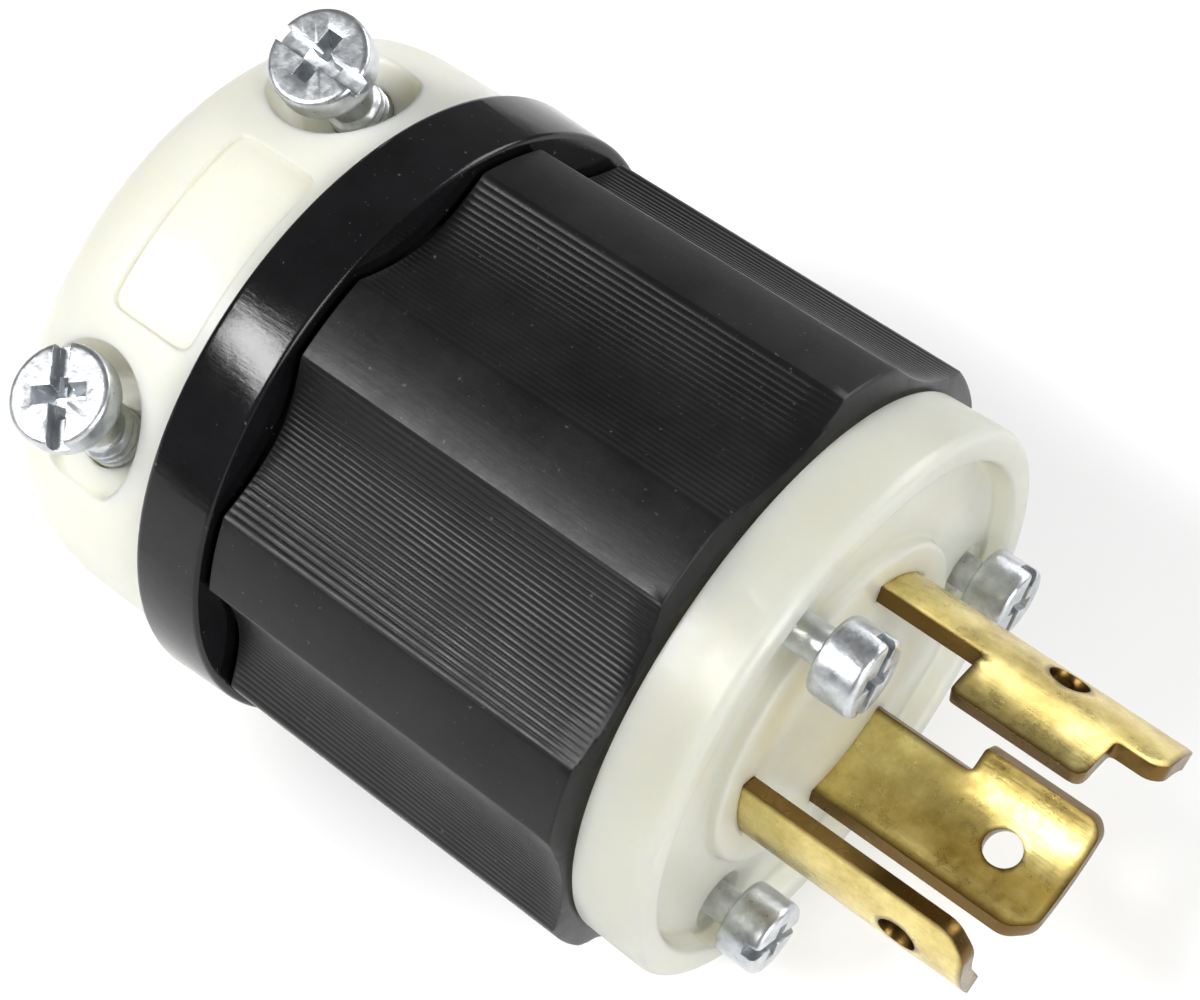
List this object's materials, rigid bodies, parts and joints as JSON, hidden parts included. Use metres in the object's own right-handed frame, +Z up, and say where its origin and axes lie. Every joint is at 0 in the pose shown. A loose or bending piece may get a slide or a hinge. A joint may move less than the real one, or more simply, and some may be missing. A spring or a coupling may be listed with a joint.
{
  "type": "locking electrical plug",
  "caption": "Round locking cord plug: white face with curved brass blades and retaining screws, black fluted housing, and a split cord clamp.",
  "frame": {"origin": "centre of the raised island on the plug's mating face, on the plug's axis", "axes": "+X along the plug's axis, out of the mating face and along the blades; +Z up, as the plug lies on its side with one flute underneath"},
  "size_m": [0.0747, 0.0475, 0.0501],
  "materials": {
    "white_nylon": "satin moulded nylon",
    "black_nylon": "satin moulded nylon",
    "brass": "stamped, lightly tarnished",
    "zinc_plate": "zinc plated",
    "plain_steel": "plain",
    "red_fibre": "matt"
  },
  "bodies": {
    "plug_body": {"housing": "black_nylon", "front_body": "white_nylon", "interior_insulator": "white_nylon", "blade_ground": "brass", "blade_line_a": "brass", "blade_line_b": "brass", "clamp_base": "white_nylon", "face_screw_nut_1": "plain_steel", "face_screw_nut_2": "plain_steel", "face_screw_nut_3": "plain_steel", "clamp_nut_1": "plain_steel", "clamp_nut_2": "plain_steel"},
    "cover": {"clamp_cover": "white_nylon"},
    "face_retainer_1": {"face_screw_retainer_1": "red_fibre"},
    "face_screw_1": {"face_screw_1": "zinc_plate"},
    "face_retainer_2": {"face_screw_retainer_2": "red_fibre"},
    "face_screw_2": {"face_screw_2": "zinc_plate"},
    "face_retainer_3": {"face_screw_retainer_3": "red_fibre"},
    "face_screw_3": {"face_screw_3": "zinc_plate"},
    "clamp_retainer_1": {"clamp_screw_retainer_1": "red_fibre"},
    "clamp_screw_1": {"clamp_screw_1": "zinc_plate"},
    "clamp_retainer_2": {"clamp_screw_retainer_2": "red_fibre"},
    "clamp_screw_2": {"clamp_screw_2": "zinc_plate"},
    "terminal_plate_1": {"pressure_plate_1": "plain_steel"},
    "terminal_screw_1": {"terminal_screw_1": "zinc_plate"},
    "terminal_plate_2": {"pressure_plate_2": "plain_steel"},
    "terminal_screw_2": {"terminal_screw_2": "zinc_plate"},
    "terminal_plate_3": {"pressure_plate_3": "plain_steel"},
    "terminal_screw_3": {"terminal_screw_3": "zinc_plate"}
  },
  "joints": [
    {"name": "cover_lift", "type": "slide", "parent": "plug_body", "child": "cover", "axis": [0, -0.3827, 0.9239], "range_m": [0, 0.0055]},
    {"name": "face_screw_1_travel", "type": "slide", "parent": "plug_body", "child": "face_retainer_1", "axis": [-1, 0, 0], "range_m": [0, 0.00335]},
    {"name": "face_screw_1_turn", "type": "hinge", "parent": "face_retainer_1", "child": "face_screw_1", "pos_m": [0, -0.00524, 0.01522], "axis": [-1, 0, 0], "range_deg": [0, 1520.4]},
    {"name": "face_screw_2_travel", "type": "slide", "parent": "plug_body", "child": "face_retainer_2", "axis": [-1, 0, 0], "range_m": [0, 0.00145]},
    {"name": "face_screw_2_turn", "type": "hinge", "parent": "face_retainer_2", "child": "face_screw_2", "pos_m": [0, 0.0158, -0.00307], "axis": [-1, 0, 0], "range_deg": [0, 658.1]},
    {"name": "face_screw_3_travel", "type": "slide", "parent": "plug_body", "child": "face_retainer_3", "axis": [-1, 0, 0], "range_m": [0, 0.00175]},
    {"name": "face_screw_3_turn", "type": "hinge", "parent": "face_retainer_3", "child": "face_screw_3", "pos_m": [0, -0.01056, -0.01215], "axis": [-1, 0, 0], "range_deg": [0, 794.2]},
    {"name": "clamp_screw_1_travel", "type": "slide", "parent": "plug_body", "child": "clamp_retainer_1", "axis": [0, -0.3827, 0.9239], "range_m": [-0.0056, 0]},
    {"name": "clamp_screw_1_turn", "type": "hinge", "parent": "clamp_retainer_1", "child": "clamp_screw_1", "pos_m": [-0.0469, 0.01256, 0.0052], "axis": [0, -0.3827, 0.9239], "range_deg": [-2541.6, 0]},
    {"name": "clamp_screw_2_travel", "type": "slide", "parent": "plug_body", "child": "clamp_retainer_2", "axis": [0, -0.3827, 0.9239], "range_m": [-0.0056, 0]},
    {"name": "clamp_screw_2_turn", "type": "hinge", "parent": "clamp_retainer_2", "child": "clamp_screw_2", "pos_m": [-0.0469, -0.01256, -0.0052], "axis": [0, -0.3827, 0.9239], "range_deg": [-2541.6, 0]},
    {"name": "terminal_screw_1_travel", "type": "slide", "parent": "plug_body", "child": "terminal_plate_1", "axis": [0, -0.6691, -0.7431], "range_m": [0, 0.0027]},
    {"name": "terminal_screw_1_turn", "type": "hinge", "parent": "terminal_plate_1", "child": "terminal_screw_1", "pos_m": [-0.019, 0.00803, 0.00892], "axis": [0, -0.6691, -0.7431], "range_deg": [0, 1225.4]},
    {"name": "terminal_screw_2_travel", "type": "slide", "parent": "plug_body", "child": "terminal_plate_2", "axis": [0, -0.2334, 0.9724], "range_m": [0, 0.0027]},
    {"name": "terminal_screw_2_turn", "type": "hinge", "parent": "terminal_plate_2", "child": "terminal_screw_2", "pos_m": [-0.019, 0.0028, -0.01167], "axis": [0, -0.2334, 0.9724], "range_deg": [0, 1225.4]},
    {"name": "terminal_screw_3_travel", "type": "slide", "parent": "plug_body", "child": "terminal_plate_3", "axis": [0, 0.9989, 0.0462], "range_m": [0, 0.0027]},
    {"name": "terminal_screw_3_turn", "type": "hinge", "parent": "terminal_plate_3", "child": "terminal_screw_3", "pos_m": [-0.019, -0.01199, -0.00056], "axis": [0, 0.9989, 0.0462], "range_deg": [0, 1225.4]}
  ],
  "couplings": [
    {"joint": "face_screw_1_turn", "follows": "face_screw_1_travel", "rad_per_m": 7913.3},
    {"joint": "face_screw_2_turn", "follows": "face_screw_2_travel", "rad_per_m": 7913.3},
    {"joint": "face_screw_3_turn", "follows": "face_screw_3_travel", "rad_per_m": 7913.3},
    {"joint": "clamp_screw_1_turn", "follows": "clamp_screw_1_travel", "rad_per_m": 7913.3},
    {"joint": "clamp_screw_2_turn", "follows": "clamp_screw_2_travel", "rad_per_m": 7913.3},
    {"joint": "terminal_screw_1_turn", "follows": "terminal_screw_1_travel", "rad_per_m": 7913.3},
    {"joint": "terminal_screw_2_turn", "follows": "terminal_screw_2_travel", "rad_per_m": 7913.3},
    {"joint": "terminal_screw_3_turn", "follows": "terminal_screw_3_travel", "rad_per_m": 7913.3}
  ]
}
